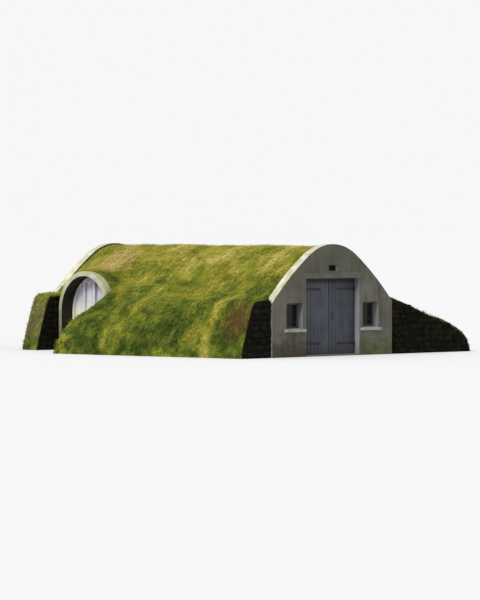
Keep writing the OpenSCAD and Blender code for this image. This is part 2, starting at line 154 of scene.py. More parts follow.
def stacked(x, y, z):
    """Three arrays spread to one size and stacked into threes, as points or as triangles."""
    return np.stack(np.broadcast_arrays(x, y, z), -1)


def grid_quads(rows, columns):
    """Quads of a grid of points, with their fronts towards rows crossed with columns."""
    index = np.arange(rows * columns).reshape(rows, columns)
    return np.stack([index[:-1, :-1], index[1:, :-1], index[1:, 1:], index[:-1, 1:]], -1).reshape(-1, 4)


def ring_walls(rings, sides):
    """Numbers of the points in a pile of rings, those of their neighbours, and the quads between rings."""
    index = np.arange(rings * sides).reshape(rings, sides)
    beside = np.roll(index, -1, 1)
    return index, beside, np.stack([index[:-1], beside[:-1], beside[1:], index[1:]], -1).reshape(-1, 4)


def closed_sheet(top, bottom):
    """Points and quads of a solid sheet: two grids of one size, joined round their rim."""
    across = np.cross(top[1:, :-1] - top[:-1, :-1], top[:-1, 1:] - top[:-1, :-1])
    if (across * (top - bottom)[:-1, :-1]).sum() < 0:
        top, bottom = top[:, ::-1], bottom[:, ::-1]
    rows, columns = top.shape[:2]
    count = rows * columns
    index = np.arange(count).reshape(rows, columns)
    upper = grid_quads(rows, columns)
    loop = np.concatenate([index[0, :-1], index[:-1, -1], index[-1, :0:-1], index[:0:-1, 0]])
    after = np.roll(loop, -1)
    rim = np.stack([loop, after, after + count, loop + count], -1)
    points = np.concatenate([top.reshape(-1, 3), bottom.reshape(-1, 3)])
    return points, [upper, upper[:, ::-1] + count, rim]


print("a grid of 4 by 3 points has", len(grid_quads(4, 3)), "quads")

# %% [markdown]
# Nothing in turf is even. A random height is drawn at each corner of a lattice and blended
# smoothly between corners, at several sizes. The corners' heights come from whole-number
# arithmetic, so the same lumps come back on every run.

# %% Lumps
def corner_value(cell, seed):
    """A number from 0 to 1 for each lattice corner: its three whole numbers, multiplied and folded."""
    x, y, z = (cell[..., k].astype(np.int64) for k in range(3))
    mixed = (x * 374761393 + y * 668265263 + z * 1440662683 + seed * 1013904223) & 0xFFFFFFFF
    mixed = ((mixed ^ (mixed >> 13)) * 1274126177) & 0xFFFFFFFF
    return ((mixed ^ (mixed >> 16)) & 0xFFFF) / 65535.0


def lumps(points, size, seed):
    """Smooth random heights from -1 to 1: corner values blended by 3t^2 - 2t^3 along each axis."""
    at = points / size
    cell = np.floor(at)
    t = at - cell
    t = t * t * (3 - 2 * t)
    total = np.zeros(points.shape[:-1])
    for corner in np.ndindex(2, 2, 2):
        share = np.prod(np.where(np.array(corner) == 1, t, 1 - t), axis=-1)
        total += share * corner_value(cell + np.array(corner), seed)
    return 2 * total - 1


def unit(vectors):
    """Vectors of length one."""
    return vectors / (np.linalg.norm(vectors, axis=-1, keepdims=True) + 1e-12)


def grid_normals(grid):
    """Unit normals of a grid of points, from the differences between neighbours, turned upwards."""
    normal = unit(np.cross(np.gradient(grid, axis=0), np.gradient(grid, axis=1)))
    return normal * np.where(normal[..., 2:] < 0, -1, 1)


print("lumps along a metre:", lumps(np.linspace([0, 0, 0], [1, 0, 0], 5), 0.4, 1).round(2))

# %% [markdown]
# The vault is drawn from three centres, a tight crown between two flat haunches. Walking
# along this curve by distance, and not by x, keeps the mesh even on the steep haunches.

# %% The arch
FALL_AWAY = 6


def arch_curve(drop, foot_x, count):
    """Points in X and Z along the arch set in by drop, from the left foot to the right one.

    A distance from the crown shorter than the crown's arc turns about the crown's centre;
    a longer one turns about the haunch's centre.
    """
    crown_r, haunch_r = CROWN_R - drop, HAUNCH_R - drop
    foot_a = math.asin((foot_x - HAUNCH_X) / haunch_r)
    crown_length = crown_r * CROWN_A
    walked = np.linspace(-1, 1, count) * (crown_length + haunch_r * (foot_a - CROWN_A))
    distance = np.abs(walked)
    on_crown = distance < crown_length
    angle = np.where(on_crown, distance / crown_r, CROWN_A + (distance - crown_length) / haunch_r)
    radius = np.where(on_crown, crown_r, haunch_r)
    x = np.where(on_crown, 0, HAUNCH_X) + radius * np.sin(angle)
    z = np.where(on_crown, CROWN_Z, HAUNCH_Z) + radius * np.cos(angle)
    return np.stack([np.sign(walked) * x, z], -1)


def porch_crown(y, radius):
    """Height of the porch's barrel over a place along the house, falling away beyond its sides."""
    off = np.abs(y - PORCH_Y)
    barrel = PORCH_SPRING_Z + np.sqrt(np.maximum(radius**2 - off**2, 0))
    return barrel - FALL_AWAY * np.maximum(off - radius, 0)


def soft_max(a, b, blend):
    """The higher of two heights, with the corner between them rounded over the blend."""
    return (a + b + np.sqrt((a - b) ** 2 + blend**2)) / 2


print("the porch's barrel rises to", round(float(porch_crown(PORCH_Y, SHELL_R)), 3))

# %% [markdown]
# The roof's turf is one blanket. It hangs from the ridge to both eaves and swells over the
# porch in a saddle. It could be modelled by hand, but a formula lets the same arch carry
# it: the vault's curve, the porch's barrel, the higher of the two, and lumps on top.
# The lumps are calmer on the ridge and beside the porch's ring.

# %% Turf on the roof
ARCH_STEPS = 132
ROOF_STEPS = 200
SADDLE_BLEND = 0.16
SADDLE_X = -0.6
RELIEF = [(0.030, 1.1), (0.024, 0.42), (0.014, 0.17)]
RIDGE_Z = 2.5
RIDGE_FADE = 0.5
RIDGE_ROOM = 0.02
RING_FADE = 0.4
CALM = 0.75


def turf_relief(grid, calm):
    """Height of the turf's lumps over its even surface: broad swells, tussocks and small knobs."""
    return sum(high * lumps(grid, size, seed) for seed, (high, size) in enumerate(RELIEF, 1)) * calm


def roof_surface():
    """Top and underside of the roof's turf as grids along the house and round the arch."""
    along = np.linspace(ROOF_FRONT_Y, ROOF_REAR_Y, ROOF_STEPS)[:, None]
    sheets = []
    for drop, barrel_r, blend in [(TURF_DROP, PORCH_TURF_R, SADDLE_BLEND), (TURF_DROP + TURF_T, SHELL_R, 0)]:
        x, z = arch_curve(drop, -RING_BACK_X, ARCH_STEPS).T
        saddle = soft_max(z, porch_crown(along, barrel_r), blend) - blend**2 / 8
        sheets.append(stacked(x, along, np.where(x < SADDLE_X, np.maximum(saddle, z), z)))
    top, under = sheets
    ridge = np.clip((top[..., 2] - RIDGE_Z) / RIDGE_FADE, 0, 1)
    ring = np.clip((top[..., 0] - RING_BACK_X) / RING_FADE, 0, 1)
    calm = (1 - CALM * ridge) * (1 - CALM + CALM * ring)
    top = top + grid_normals(top) * (turf_relief(top, calm) - RIDGE_ROOM * ridge)[..., None]
    top[..., 0] = np.maximum(top[..., 0], RING_BACK_X)
    top[..., 1] = np.clip(top[..., 1], ROOF_FRONT_Y, ROOF_REAR_Y)
    return top, under


ROOF_TOP, ROOF_UNDER = roof_surface()
turf_roof = add_piece("turf_roof", *closed_sheet(ROOF_TOP, ROOF_UNDER), slot="turf")
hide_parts("turf_crown", "turf_left", "turf_right", "porch_turf")
print("ridge of the turf at", round(float(ROOF_TOP[..., 2].max()), 3))

# %% [markdown]
# Earth is banked against both flanks. Each bank is a section carried along the house, and
# the left one widens on the way to the porch. A section's few points are shares of its
# width and height. One smooth line runs through them and on up the roof, so that roof and
# bank read as a single slope, as they do once grass has closed over both.

# %% Sections of the banks
BANK_TOP = reach("bank_end_front_left", Z)[1]
STEEP_W = -HALF_W - reach("bank_end_front_left", X)[0]
WIDE_W = -HALF_W - reach("porch_cheek_near", X)[0]
SHALLOW_W = reach("bank_end_front_right", X)[1] - HALF_W
STEEP = [(0, 1.02), (0.29, 1.01), (0.57, 0.95), (0.76, 0.6), (0.94, 0.18), (1, 0)]
WIDE = [(0, 1.18), (0.12, 1.08), (0.24, 0.95), (0.42, 0.8), (0.78, 0.47), (1, 0)]
SHALLOW = [(0, 1.01), (0.22, 0.88), (0.44, 0.7), (0.76, 0.48), (0.95, 0.23), (1, 0)]
BANK_STEPS = 72
LAP_Z = BANK_TOP + 0.31
TUCK_Z = LAP_Z + 0.25


def turf_point(z):
    """Point of the roof's turf at a height on the right haunch: the haunch's circle solved for X."""
    return HAUNCH_X + math.sqrt((HAUNCH_R - TURF_DROP) ** 2 - (z - HAUNCH_Z) ** 2), z


def smooth_line(points, steps=12):
    """Curve through points: each span is a cubic that starts and ends along its neighbours' chord."""
    padded = np.concatenate([points[:1], points, points[-1:]])[:, None]
    a, b, c, d = padded[:-3], padded[1:-2], padded[2:-1], padded[3:]
    t = np.linspace(0, 1, steps, endpoint=False)[None, :, None]
    square = 2 * a - 5 * b + 4 * c - d
    cube = 3 * b - a - 3 * c + d
    spans = b + ((c - a) * t + square * t**2 + cube * t**3) / 2
    return np.concatenate([spans.reshape(-1, 2), points[-1:]])


def evenly(line, count):
    """Points spaced evenly along a line, found by the distance walked."""
    walked = np.concatenate([[0], np.cumsum(np.linalg.norm(np.diff(line, axis=0), axis=1))])
    at = np.linspace(0, walked[-1], count)
    return np.stack([np.interp(at, walked, line[:, k]) for k in range(2)], -1)


def section(width, shares):
    """Line in X and Z from the roof's turf over the wall and out to the foot of a bank."""
    slope = [(HALF_W + width * across, BANK_TOP * up) for across, up in shares]
    line = smooth_line(np.array([turf_point(TUCK_Z), turf_point(LAP_Z), *slope]))
    return evenly(np.maximum(line, 0), BANK_STEPS)


STEEP_LINE = section(STEEP_W, STEEP)
WIDE_LINE = section(WIDE_W, WIDE)
SHALLOW_LINE = section(SHALLOW_W, SHALLOW)
print("banks:", round(STEEP_W, 2), "to", round(WIDE_W, 2), "and", round(SHALLOW_W, 2), "m wide")

# %% [markdown]
# Where a bank meets its stone end wall, the sods lap over the stones by a hand's breadth.
# So the turf is carried a little past the bank itself and raised. Its upper edge dives
# under the roof's turf, and its foot ends in a thin edge on the ground.

# %% Turf on the banks
SOD = 0.04
TUCK = 0.035
FOOT_T = 0.012
FOOT_FADE = 0.35
UNDER_ROOF = 0.12
WALL_SKIN = 0.01
END_LAP = 0.82
CHEEK_EDGE = 0.03


def bank_surface(side, first, last, from_y, to_y, rows):
    """Top and underside of a bank: two sections blended along the house, with lumps on the top."""
    share = np.linspace(0, 1, rows)[:, None, None]
    line = (1 - share) * first[None] + share * last[None]
    over_roof = line[..., 0] < HALF_W
    start = np.where(over_roof, max(from_y, ROOF_FRONT_Y), from_y)
    end = np.where(over_roof, min(to_y, ROOF_REAR_Y), to_y)
    top = stacked(side * line[..., 0], start + share[..., 0] * (end - start), line[..., 1])
    foot = np.clip(line[..., 1] / FOOT_FADE, 0, 1)
    over = np.clip((TUCK_Z - line[..., 1]) / (TUCK_Z - LAP_Z), 0, 1)
    rise = ((SOD + TUCK) * over - TUCK + turf_relief(top, 1.0)) * foot
    top = top + grid_normals(top) * np.array([1, 0, 1]) * rise[..., None]
    top[..., 2] = np.maximum(top[..., 2], FOOT_T)
    outside = np.abs(top[..., 0]) > HALF_W - WALL_SKIN
    under = top.copy()
    under[..., 2] = np.where(outside, 0, top[..., 2] - UNDER_ROOF)
    return top, under


def end_lap(node, inner_y):
    """Place along the house where the turf ends over an end wall, most of the way across it."""
    low, high = reach(node, Y)
    outer = low if abs(low - inner_y) > abs(high - inner_y) else high
    return inner_y + END_LAP * (outer - inner_y)


BANK_FRONT_Y, BANK_REAR_Y = reach("bank_right", Y)
LAP_FRONT_Y = end_lap("bank_end_front_left", BANK_FRONT_Y)
LAP_REAR_Y = end_lap("bank_end_rear_left", BANK_REAR_Y)
LEFT_Y = LAP_FRONT_Y, reach("porch_cheek_near", Y)[1] - CHEEK_EDGE
LEFT_REAR_Y = reach("porch_cheek_far", Y)[0] + CHEEK_EDGE, LAP_REAR_Y
BANKS = {
    "turf_bank_left": bank_surface(-1, STEEP_LINE, WIDE_LINE, *LEFT_Y, 150),
    "turf_bank_left_rear": bank_surface(-1, STEEP_LINE, STEEP_LINE, *LEFT_REAR_Y, 24),
    "turf_bank_right": bank_surface(1, SHALLOW_LINE, SHALLOW_LINE, LAP_FRONT_Y, LAP_REAR_Y, 200),
}
for name, (top, under) in BANKS.items():
    bank = add_piece(name, *closed_sheet(top, under), slot="turf")
    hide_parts(name.removeprefix("turf_"))

# %% [markdown]
# Grass could be a particle system, but particles leave no mesh behind. Here tufts are
# dropped on the turf by area, as many on a square metre of steep bank as on a flat one.

# %% Places for tufts
def scatter(grid, count, rng):
    """Random points on a grid and their normals: a cell is drawn by its area, then a place in it."""
    a, b, c, d = grid[:-1, :-1], grid[1:, :-1], grid[1:, 1:], grid[:-1, 1:]
    area_vector = np.cross(c - a, d - b).reshape(-1, 3)
    area = np.linalg.norm(area_vector, axis=-1)
    cell = rng.choice(len(area), count, p=area / area.sum())
    u, v = rng.random((2, count, 1))
    shares = (1 - u) * (1 - v), u * (1 - v), u * v, (1 - u) * v
    point = sum(share * corner.reshape(-1, 3)[cell] for share, corner in zip(shares, (a, b, c, d)))
    normal = area_vector[cell] / area[cell, None]
    return point, normal * np.where(normal[:, 2:] < 0, -1, 1)


print("a place on the roof:", scatter(ROOF_TOP, 1, np.random.default_rng(0))[0].round(2))

# %% [markdown]
# Every tuft is nine blades and each blade a thin spike with a three-cornered root. Blades
# lean out from the tuft's middle and down the slope, and shorten near the ridge, where the
# gable's edge stands only a hand above the sods.

# %% Tufts of grass
BLADES = 9
BLADE_W = 0.013
BLADE_T = 0.004
TUFT_R = 0.045
ROOT_DEPTH = 0.012
STAND, LIFT, HANG = 0.5, 0.35, 0.8
LEAN = 0.25, 0.95
SHORTEST = 0.55
VIGOUR, VIGOUR_SWING, VIGOUR_SIZE = 0.75, 0.35, 0.5
LEAST_ROOM, LEAST_RISE = 0.01, 0.08
CLEAR = 0.004
GRASS_TOP = GABLE_H - CLEAR
GRASS_LOW = CAD_BOX[0][0], FRONT_Y + CLEAR, 0.001
GRASS_HIGH = CAD_BOX[1][0], REAR_Y - CLEAR, GRASS_TOP
UP = np.array([0.0, 0.0, 1.0])
ASLANT = [0.0, 1.0, 0.3]


def grow(grid, tufts, seed, longest):
    """Points, faces and two attributes of tufts of grass on a grid surface.

    A blade points along its normal, upwards, out from the tuft's middle and down the slope,
    added and made one long. Its length is the longest times a random share, and is cut
    where the tip would pass the gable's edge.
    """
    rng = np.random.default_rng(seed)
    each = tufts, BLADES, 1
    centre, normal = scatter(grid, tufts, rng)
    first = unit(np.cross(normal, ASLANT))
    second = np.cross(normal, first)
    turn = rng.uniform(0, 2 * np.pi, each)
    outward = first[:, None] * np.cos(turn) + second[:, None] * np.sin(turn)
    spread = rng.uniform(0, TUFT_R, each)
    root = centre[:, None] + outward * spread - normal[:, None] * ROOT_DEPTH
    downhill = normal * normal[:, 2:] - UP
    lean = rng.uniform(*LEAN, each)
    heading = unit(STAND * normal[:, None] + LIFT * UP + lean * outward + HANG * downhill[:, None])
    vigour = VIGOUR + VIGOUR_SWING * lumps(centre, VIGOUR_SIZE, seed + 1)
    length = longest * vigour[:, None, None] * rng.uniform(SHORTEST, 1, each)
    room = np.maximum(GRASS_TOP - root[..., 2:], LEAST_ROOM)
    length = np.minimum(length, room / np.maximum(heading[..., 2:], LEAST_RISE))
    side = unit(np.cross(heading, normal[:, None])) * BLADE_W / 2
    back = unit(np.cross(side, heading)) * BLADE_T
    points = np.stack([root - side, root + side, root + back, root + heading * length], 2)
    points = np.clip(points, GRASS_LOW, GRASS_HIGH)
    across, through, along = np.moveaxis(points[..., 1:, :] - points[..., :1, :], 2, 0)
    inverted = np.einsum("...i,...i", np.cross(across, through), along).ravel() < 0
    base = np.arange(tufts * BLADES)[:, None, None] * 4
    faces = base + np.array([[0, 2, 1], [0, 1, 3], [1, 2, 3], [2, 0, 3]])
    faces[inverted] = faces[inverted][..., ::-1]
    tipness = np.tile([0.0, 0.0, 0.0, 1.0], tufts * BLADES)
    dryness = np.repeat(rng.random(tufts * BLADES), 4)
    return points, [faces.reshape(-1, 3)], {"tip": tipness, "dry": dryness}


MIDDLE = ARCH_STEPS // 2
LAWNS = {
    "grass_roof_left": (ROOF_TOP[:, : MIDDLE + 1], 5000, 0.13),
    "grass_roof_right": (ROOF_TOP[:, MIDDLE:], 4600, 0.13),
    "grass_bank_left": (BANKS["turf_bank_left"][0], 4300, 0.14),
    "grass_bank_left_rear": (BANKS["turf_bank_left_rear"][0], 500, 0.13),
    "grass_bank_right": (BANKS["turf_bank_right"][0], 5000, 0.14),
}
for seed, (name, (ground, tufts, longest)) in enumerate(LAWNS.items(), 11):
    points, faces, values = grow(ground, tufts, seed, longest)
    lawn = add_piece(name, points, faces, slot="turf", sharp_over=180)
    for label, value in values.items():
        lawn.data.attributes.new(label, "FLOAT", "POINT").data.foreach_set("value", value.astype(np.float32))

# %% [markdown]
# The ends of the banks are field stones laid dry with earth between. A stone is a rounded
# block: the circle's sine and cosine raised to a power below one, which fills out its
# corners, and then dented by the same lumps as the turf. Courses are filled from the
# house outwards until they meet the slope.

# %% Field stones
STONE_AROUND = 10
STONE_RINGS = 5
STONE_POWER = 0.7
STONE_SET = 0.018
STONE_DEPTH = 0.05
STONE_FILL = 0.97, 0.95
STONE_DENT, DENT_FINE, DENT_SHIFT = 0.2, 9, 7
STONE_TILT = 0.14
COURSE_H = 0.12, 0.2
STONE_W = 0.12, 0.45
STONE_H_SHARE = 0.8, 1.12
SLOPE_SHARE = 0.6
NARROWEST = 0.07
TOP_GAP = 0.06
STAGGER = 0.03
WOBBLE = 0.02
CORE_DROP = 0.015
GROUND_Z = 0.002


def courses(line, inner_x, rng):
    """Centre and half size of each stone under a bank's line: level courses, filled to the slope."""
    slope_x, slope_z = line[::-1, 0], np.maximum.accumulate(line[::-1, 1])
    stones, low = [], 0.0
    top = slope_z[slope_x >= inner_x].max() - TOP_GAP
    while low < top:
        high = min(rng.uniform(*COURSE_H), top - low + WOBBLE)
        limit = np.interp(low + SLOPE_SHARE * high, slope_z, slope_x)
        x = inner_x + rng.uniform(-STAGGER, STAGGER)
        while x < limit - NARROWEST:
            wide = min(rng.uniform(*STONE_W), limit - x)
            middle = low + high / 2 + rng.uniform(-WOBBLE, WOBBLE)
            stones.append((x + wide / 2, middle, wide / 2, high / 2 * rng.uniform(*STONE_H_SHARE)))
            x += wide
        low += high
    return np.array(stones)


def power(value):
    """A value raised to the stones' power, with its sign kept."""
    return np.sign(value) * np.abs(value) ** STONE_POWER


def stone_wall(line, inner_x, side, face_y, outward, seed):
    """Points and faces of all the stones in one face: rounded blocks with dented skins."""
    rng = np.random.default_rng(seed)
    stones = courses(line, inner_x, rng)
    around = np.linspace(0, 2 * np.pi, STONE_AROUND, endpoint=False)
    along = np.linspace(-np.pi / 2, np.pi / 2, STONE_RINGS + 2)[1:-1, None]
    ring = power(np.cos(along))
    body = stacked(power(np.sin(along)), ring * power(np.cos(around)), ring * power(np.sin(around)))
    shape = np.concatenate([body.reshape(-1, 3), [[-1, 0, 0], [1, 0, 0]]])[None]
    half = stacked(STONE_FILL[0] * stones[:, 2], STONE_DEPTH, STONE_FILL[1] * stones[:, 3])[:, None]
    places = stacked(stones[:, 0], face_y - outward * STONE_SET, stones[:, 1])[:, None]
    dents = 1 + STONE_DENT * lumps(shape * half * DENT_FINE + places * DENT_SHIFT, 1.0, seed)[..., None]
    x, y, z = np.moveaxis(shape * half * dents, -1, 0)
    tilt = rng.uniform(-STONE_TILT, STONE_TILT, (len(stones), 1))
    points = stacked(x * np.cos(tilt) - z * np.sin(tilt), y, x * np.sin(tilt) + z * np.cos(tilt)) + places
    points[..., 0] *= side
    points[..., 2] = np.maximum(points[..., 2], GROUND_Z)
    index, beside, walls = ring_walls(STONE_RINGS, STONE_AROUND)
    poles = STONE_RINGS * STONE_AROUND
    fans = np.concatenate([stacked(beside[0], index[0], poles), stacked(index[-1], beside[-1], poles + 1)])
    if side > 0:
        walls, fans = walls[:, ::-1], fans[:, ::-1]
    step = (np.arange(len(stones)) * (poles + 2))[:, None, None]
    return points, [(walls + step).reshape(-1, 4), (fans + step).reshape(-1, 3)]


def earth_core(line, side, node):
    """Top and underside of the earth behind the stones: the bank's outline through the wall's depth."""
    x, z = line[line[:, 0] > HALF_W].T
    y = np.linspace(*reach(node, Y), 4)[:, None]
    top = stacked(side * x, y, np.maximum(z - CORE_DROP, GROUND_Z))
    return top, top * np.array([1, 1, 0])


END_WALLS = {
    "bank_end_front_left": (STEEP_LINE, HALF_W, -1, -1),
    "bank_end_front_right": (SHALLOW_LINE, HALF_W, 1, -1),
    "bank_end_rear_left": (STEEP_LINE, HALF_W, -1, 1),
    "bank_end_rear_right": (SHALLOW_LINE, HALF_W, 1, 1),
    "porch_cheek_near": (WIDE_LINE, -PORCH_FACE_X, -1, 1),
    "porch_cheek_far": (STEEP_LINE, -PORCH_FACE_X, -1, -1),
}
for seed, (node, (line, inner_x, side, outward)) in enumerate(END_WALLS.items(), 31):
    name = node.removeprefix("bank_end_").removeprefix("porch_")
    face_y = reach(node, Y)[0 if outward < 0 else 1]
    points, faces = stone_wall(line, inner_x, side, face_y, outward, seed)
    add_piece("stones_" + name, points, faces, slot="dark_stone", sharp_over=50)
    core = add_piece("earth_" + name, *closed_sheet(*earth_core(line, side, node)), slot="dark_stone")
    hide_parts(node)

# %% [markdown]
# A board is a rectangle with its corners planed off, carried along a straight line. The
# doors' boards, ledges and braces are all this one shape, so one helper makes them.
# Small sideways wanderings keep the edges from looking ruled.

# %% Boards
BOARD_STATIONS = 14
WANDER, WANDER_SIZE = 0.0012, 0.31


def board(start, end, across, through, chamfer, seed):
    """Points and faces of a board: an eight-cornered section at each station from start to end.

    Across and through are half its width and half its thickness, as vectors.
    """
    start, end, across, through = (np.array(v, float) for v in (start, end, across, through))
    w, d = 1 - chamfer / np.linalg.norm(across), 1 - chamfer / np.linalg.norm(through)
    corners = np.array([(-w, -1), (w, -1), (1, -d), (1, d), (w, 1), (-w, 1), (-1, d), (-1, -d)])
    ring = corners[:, :1] * across + corners[:, 1:] * through
    share = np.linspace(0, 1, BOARD_STATIONS)[:, None, None]
    points = start + share * (end - start) + ring
    wander = WANDER * (1 + lumps(points, WANDER_SIZE, seed))[..., None]
    points = points - wander * ring / np.linalg.norm(ring, axis=-1).max()
    return points.reshape(-1, 3), tube_faces(BOARD_STATIONS, len(corners))


def tube_faces(stations, sides):
    """Quads round a tube of closed rings, and one many-sided face at each end."""
    index, _, walls = ring_walls(stations, sides)
    return [walls, np.stack([index[0, ::-1], index[-1]])]


def outwards(points, faces):
    """Turns all faces round if the closed shape's signed volume is negative."""
    points = np.asarray(points, float).reshape(-1, 3)
    volume = 0.0
    for group in faces:
        for k in range(1, group.shape[1] - 1):
            a, b, c = points[group[:, 0]], points[group[:, k]], points[group[:, k + 1]]
            volume += np.einsum("ij,ij", a, np.cross(b, c))
    return points, [group[:, ::-1] for group in faces] if volume < 0 else faces


def joined(shapes):
    """Several shapes as one: each shape's faces count on from the points before it."""
    points, faces, count = [], [], 0
    for shape_points, shape_faces in shapes:
        shape_points, shape_faces = outwards(shape_points, shape_faces)
        points.append(shape_points)
        faces += [group + count for group in shape_faces]
        count += len(shape_points)
    return np.concatenate(points), faces


print("a tube of 3 rings of 8 has", len(tube_faces(3, 8)[0]), "quads round it")

# %% [markdown]
# Each door leaf has seven upright boards on three ledges, with two braces that rise from
# the hinge side. The boards hide one solid of the frame and stay inside it, so the leaf
# swings with the same room as before.

# %% Door leaves
LEAF_BOARDS = 7
BOARD_T = 0.028
BOARD_GAP = 0.0012
BOARD_CHAMFER = 0.005
LEDGE_H = 0.13
LEDGE_END = 0.12
LEDGE_INSET = 0.04
RAIL_CHAMFER = 0.006
BRACE_W = 0.1
BRACE_SLIM = 2.6
BRACE_BACK = 0.045


def leaf_box(node):
    """Box of a piece of one door leaf, its side, and its reach from the doorway's middle."""
    low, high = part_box(node)
    return low, high, 1 if low[X] > 0 else -1, *sorted((abs(low[X]), abs(high[X])))


def door_leaf(node, seed):
    """Boards, then ledges and braces, of the leaf that fills a node's box."""
    low, high, side, inner, outer = leaf_box(node)
    face, back = low[Y], high[Y]
    mid_board, mid_ledge = face + BOARD_T / 2, (face + BOARD_T + back) / 2
    pitch = (outer - inner) / LEAF_BOARDS
    boards, rails = [], []
    for k in range(LEAF_BOARDS):
        x = side * (inner + (k + 0.5) * pitch)
        boards.append(board((x, mid_board, low[Z]), (x, mid_board, high[Z]), (pitch / 2 - BOARD_GAP, 0, 0),
                            (0, BOARD_T / 2, 0), BOARD_CHAMFER, seed + k))
    rail = {"through": (0, (back - face - BOARD_T) / 2, 0), "chamfer": RAIL_CHAMFER, "seed": seed}
    near_x, far_x = side * (inner + LEDGE_INSET), side * (outer - LEDGE_INSET)
    ledge_z = [low[Z] + LEDGE_END + LEDGE_H / 2, (low[Z] + high[Z]) / 2, high[Z] - LEDGE_END - LEDGE_H / 2]
    for z in ledge_z:
        rails.append(board((near_x, mid_ledge, z), (far_x, mid_ledge, z), (0, 0, LEDGE_H / 2), **rail))
    for z0, z1 in zip(ledge_z[:-1], ledge_z[1:]):
        foot = np.array((far_x - side * BRACE_W / 2, mid_ledge, z0 + LEDGE_H / 2))
        head = np.array((near_x + side * BRACE_W / 2, mid_ledge, z1 - LEDGE_H / 2))
        way = unit(head - foot)
        across = np.array((way[2], 0, -way[0])) * BRACE_W / BRACE_SLIM
        rails.append(board(foot + way * BRACE_BACK, head - way * BRACE_BACK, across, **rail))
    return joined(boards), joined(rails)


for side_name, seed in [("left", 61), ("right", 71)]:
    leaf_boards, leaf_rails = door_leaf("door_leaf_" + side_name, seed)
    shared = {"slot": "slate_paint", "body": "door_" + side_name, "sharp_over": 30}
    boards_piece = add_piece("door_boards_" + side_name, *leaf_boards, **shared)
    add_piece("door_ledges_" + side_name, *leaf_rails, **shared)
    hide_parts("door_leaf_" + side_name)

# %% [markdown]
# Forged straps are held by nails with domed heads. A dome is a quarter circle turned about
# its own axis; five of them sit along each strap.

# %% Nails in the straps
NAILS = 5
NAIL_R = 0.011
NAIL_H = 0.005
DOME_SIDES, DOME_RINGS = 10, 3
STRAP_H = 0.06
STRAP_T = 0.005
FIRST_NAIL, LAST_NAIL = 0.035, 0.09


def domes(centres, radius, height):
    """Points and faces of domes that face the front: rings of a quarter circle, a pole and a base."""
    around = np.linspace(0, 2 * np.pi, DOME_SIDES, endpoint=False)
    rise = np.linspace(0, np.pi / 2, DOME_RINGS + 1)[:-1, None]
    wide = radius * np.cos(rise)
    skin = stacked(wide * np.cos(around), -height * np.sin(rise), wide * np.sin(around)).reshape(-1, 3)
    shape = np.concatenate([skin, [[0, -height, 0]]])
    index, beside, walls = ring_walls(DOME_RINGS, DOME_SIDES)
    cap = stacked(index[-1], beside[-1], DOME_RINGS * DOME_SIDES)
    return joined([(shape + centre, [walls, cap, index[:1, ::-1]]) for centre in np.array(centres)])


def strap_nails(node):
    """Nails spaced evenly along both straps of a leaf, on the strap's face."""
    low, high, side, near, far = leaf_box(node)
    levels = low[Z] + STRAP_H / 2, high[Z] - STRAP_H / 2
    places = side * np.linspace(near + FIRST_NAIL, far - LAST_NAIL, NAILS)
    face = reach("door_leaf_left", Y)[0] - STRAP_T
    return [(x, face, z) for z in levels for x in places]


for side_name in ("left", "right"):
    nails = domes(strap_nails("hinge_straps_" + side_name), NAIL_R, NAIL_H)
    add_piece("strap_nails_" + side_name, *nails, slot="iron", body="door_" + side_name)

# %% [markdown]
# The porch's ring is cast and limewashed, with rounded arrises. Its section, a rectangle
# with rounded corners, is carried up one leg, over the half circle and down the other.

# %% Porch ring
RING_STATIONS = 96
ARRIS = 0.022
UNEVEN, UNEVEN_SIZE = 0.004, 0.28
OUTER_BAND = 0.07


def rounded_section(low, high, radius, steps=4):
    """Closed outline of a rectangle between two corners, with quarter circles for its corners."""
    left, lower = low[0] + radius, low[1] + radius
    right, upper = high[0] - radius, high[1] - radius
    arcs = []
    for k, centre in enumerate([(right, upper), (left, upper), (left, lower), (right, lower)]):
        angle = np.linspace(0, np.pi / 2, steps + 1) + k * np.pi / 2
        arcs.append(centre + radius * np.stack([np.cos(angle), np.sin(angle)], -1))
    return np.concatenate(arcs)


def porch_path(stations, radius):
    """Centres and directions along the porch's arch: a point is a centre plus radius times direction."""
    leg = PORCH_SPRING_Z
    walked = np.linspace(0, 2 * leg + np.pi * radius, stations)
    angle = np.clip((walked - leg) / radius, 0, np.pi)
    height = np.minimum(np.minimum(walked, walked[-1] - walked), leg)
    return stacked(0, PORCH_Y, height), stacked(0, -np.cos(angle), np.sin(angle))


outline = rounded_section((PORCH_FACE_X, RING_INNER), (RING_BACK_X, RING_R), ARRIS)
centre, outward = (each[:, None] for each in porch_path(RING_STATIONS, RING_R))
forward, across = outline[:, :1], outline[:, 1:]
ring_points = centre + outward * across + forward * np.array([1, 0, 0])
uneven = np.abs(UNEVEN * lumps(ring_points, UNEVEN_SIZE, 81)[..., None])
ring_points = ring_points - uneven * outward * np.where(across > RING_R - OUTER_BAND, 1, -1)
ring = add_piece("porch_ring_cast", *outwards(ring_points, tube_faces(RING_STATIONS, len(outline))),
                 slot="whitewash", sharp_over=50)
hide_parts("porch_ring")

# %% [markdown]
# Behind the porch's frame stand upright boards whose heads follow the arch. Each one is a
# small grid whose upper edge is the circle's own height, pulled back at both sides into
# a groove.

# %% Porch boards
SCREEN_BOARDS = 13
SCREEN_STEPS = 12
SCREEN_GAP = 0.01
GROOVE = 0.006
ACROSS_BOARD = np.array([0, 0.06, 0.35, 0.65, 0.94, 1.0])


